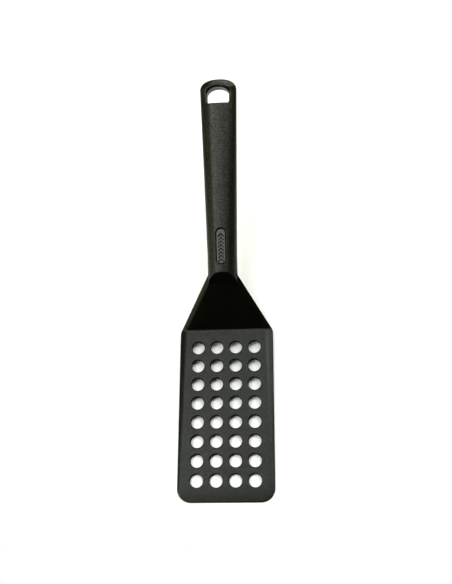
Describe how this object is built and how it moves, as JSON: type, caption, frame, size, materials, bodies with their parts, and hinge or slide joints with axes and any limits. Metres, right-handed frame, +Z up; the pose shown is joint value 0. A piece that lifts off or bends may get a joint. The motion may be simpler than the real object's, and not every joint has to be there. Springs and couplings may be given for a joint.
{
  "type": "slotted turner",
  "caption": "Long-handled kitchen turner with a flat perforated rectangular blade, a raised bevelled neck, a rounded two-shell handle with a hang opening and an inlaid badge.",
  "frame": {"origin": "middle of the blade's flat underside", "axes": "+X across the blade, +Y from the blade towards the handle, +Z up from the blade's flat underside"},
  "size_m": [0.0776, 0.3363, 0.0832],
  "materials": {
    "head_nylon": "fine-grained moulded black nylon, slightly satin",
    "handle_nylon": "coarser-grained moulded black nylon",
    "badge_plastic": "dark grey satin plastic with a low relief",
    "pin_plastic": "plain black nylon"
  },
  "bodies": {
    "root": {"head": "head_nylon", "handle_front": "handle_nylon", "handle_back": "handle_nylon", "badge": "badge_plastic", "tang_pins": "pin_plastic"}
  },
  "joints": []
}
